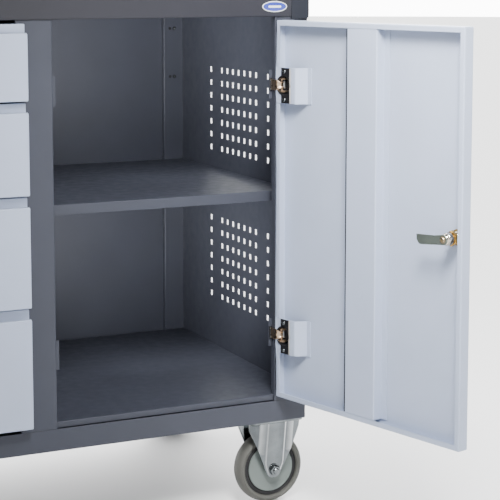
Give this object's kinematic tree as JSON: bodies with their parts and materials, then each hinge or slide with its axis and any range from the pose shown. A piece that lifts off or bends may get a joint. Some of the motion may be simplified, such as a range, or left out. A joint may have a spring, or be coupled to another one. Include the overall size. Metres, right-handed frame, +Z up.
{
  "type": "mobile workbench",
  "caption": "Mobile steel workbench with a wood worktop, a cupboard bay with a hinged door and a shelf, a column of drawers, and fixed and braked swivel castors.",
  "frame": {"origin": "centre of the whole object's box, at the floor the wheels stand on, with the door standing open", "axes": "+X along the bench towards the cupboard side, +Y from the front to the back, +Z up"},
  "size_m": [1.0538, 0.9788, 0.951],
  "materials": {
    "grey_paint": "fine textured anthracite powder coat",
    "silver_paint": "fine textured silver-grey powder coat",
    "dark_plastic": "moulded dark grey plastic",
    "beech_multiplex": "oiled beech multiplex with layered edges",
    "zinc_plate": "bright zinc plating",
    "black_steel": "black coated pressed steel",
    "copper_plate": "copper-tinted plating",
    "brass": "turned brass",
    "lever_steel": "dull passivated steel",
    "grey_rubber": "grey non-marking rubber",
    "wheel_plastic": "moulded grey-green plastic",
    "badge_blue": "glossy blue oval",
    "pedal_red": "red painted pressed steel"
  },
  "bodies": {
    "bench": {"axle_front_right": "zinc_plate", "axle_rear_right": "zinc_plate", "back_panel": "grey_paint", "badge": "badge_blue", "base_tray": "grey_paint", "cupboard_floor": "grey_paint", "end_cap_left": "dark_plastic", "end_cap_right": "dark_plastic", "fascia": "grey_paint", "fork_front_right": "zinc_plate", "fork_rear_right": "zinc_plate", "hinge_arm_lower": "copper_plate", "hinge_arm_upper": "copper_plate", "hinge_plate_lower": "black_steel", "hinge_plate_upper": "black_steel", "partition": "grey_paint", "post_centre": "grey_paint", "post_left": "grey_paint", "post_right": "grey_paint", "runner_rack_left": "zinc_plate", "runner_rack_right": "zinc_plate", "shelf": "grey_paint", "shelf_support_left": "grey_paint", "shelf_support_right": "grey_paint", "side_panel_left": "grey_paint", "side_panel_right": "grey_paint", "swivel_plate_front_left": "zinc_plate", "swivel_plate_rear_left": "zinc_plate", "top_tray": "grey_paint", "worktop": "beech_multiplex"},
    "door": {"door_panel": "silver_paint", "door_stiffener": "silver_paint", "hinge_bracket_lower": "silver_paint", "hinge_bracket_upper": "silver_paint", "hinge_cup_lower": "black_steel", "hinge_cup_upper": "black_steel", "lock_body": "brass"},
    "cam": {"cam_lever": "lever_steel"},
    "drawer_1": {"drawer_front_1": "silver_paint", "drawer_box_1": "grey_paint"},
    "drawer_2": {"drawer_front_2": "silver_paint", "drawer_box_2": "grey_paint"},
    "drawer_3": {"drawer_front_3": "silver_paint", "drawer_box_3": "grey_paint"},
    "drawer_4": {"drawer_front_4": "silver_paint", "drawer_box_4": "grey_paint"},
    "swivel_front_left": {"fork_front_left": "zinc_plate", "axle_front_left": "zinc_plate"},
    "brake_front_left": {"brake_pedal_front_left": "pedal_red"},
    "wheel_front_left": {"tyre_front_left": "grey_rubber", "wheel_centre_front_left": "wheel_plastic"},
    "wheel_front_right": {"tyre_front_right": "grey_rubber", "wheel_centre_front_right": "wheel_plastic"},
    "swivel_rear_left": {"fork_rear_left": "zinc_plate", "axle_rear_left": "zinc_plate"},
    "brake_rear_left": {"brake_pedal_rear_left": "pedal_red"},
    "wheel_rear_left": {"tyre_rear_left": "grey_rubber", "wheel_centre_rear_left": "wheel_plastic"},
    "wheel_rear_right": {"tyre_rear_right": "grey_rubber", "wheel_centre_rear_right": "wheel_plastic"}
  },
  "joints": [
    {"name": "door_hinge", "type": "hinge", "parent": "bench", "child": "door", "pos_m": [0.40608, -0.09058, 0.52375], "axis": [0, 0, 1], "range_deg": [-105.4, 4.6]},
    {"name": "cam_turn", "type": "hinge", "parent": "door", "child": "cam", "pos_m": [0.48825, -0.46987, 0.527], "axis": [0.9641, 0.2656, 0], "range_deg": [0, 180]},
    {"name": "drawer_1_slide", "type": "slide", "parent": "bench", "child": "drawer_1", "axis": [0, -1, 0], "range_m": [0, 0.4]},
    {"name": "drawer_2_slide", "type": "slide", "parent": "bench", "child": "drawer_2", "axis": [0, -1, 0], "range_m": [0, 0.4]},
    {"name": "drawer_3_slide", "type": "slide", "parent": "bench", "child": "drawer_3", "axis": [0, -1, 0], "range_m": [0, 0.4]},
    {"name": "drawer_4_slide", "type": "slide", "parent": "bench", "child": "drawer_4", "axis": [0, -1, 0], "range_m": [0, 0.4]},
    {"name": "swivel_front_left", "type": "hinge", "parent": "bench", "child": "swivel_front_left", "pos_m": [-0.44792, -0.03308, 0.125], "axis": [0, 0, 1], "continuous": true},
    {"name": "brake_front_left", "type": "hinge", "parent": "swivel_front_left", "child": "brake_front_left", "pos_m": [-0.36892, -0.03308, 0.1225], "axis": [0, 1, 0], "range_deg": [0, 12]},
    {"name": "wheel_front_left", "type": "hinge", "parent": "swivel_front_left", "child": "wheel_front_left", "pos_m": [-0.40992, -0.03308, 0.0625], "axis": [0, 1, 0], "continuous": true},
    {"name": "wheel_front_right", "type": "hinge", "parent": "bench", "child": "wheel_front_right", "pos_m": [0.40808, -0.03308, 0.0625], "axis": [0, 1, 0], "continuous": true},
    {"name": "swivel_rear_left", "type": "hinge", "parent": "bench", "child": "swivel_rear_left", "pos_m": [-0.44792, 0.42492, 0.125], "axis": [0, 0, 1], "continuous": true},
    {"name": "brake_rear_left", "type": "hinge", "parent": "swivel_rear_left", "child": "brake_rear_left", "pos_m": [-0.36892, 0.42492, 0.1225], "axis": [0, 1, 0], "range_deg": [0, 12]},
    {"name": "wheel_rear_left", "type": "hinge", "parent": "swivel_rear_left", "child": "wheel_rear_left", "pos_m": [-0.40992, 0.42492, 0.0625], "axis": [0, 1, 0], "continuous": true},
    {"name": "wheel_rear_right", "type": "hinge", "parent": "bench", "child": "wheel_rear_right", "pos_m": [0.40808, 0.42492, 0.0625], "axis": [0, 1, 0], "continuous": true}
  ]
}
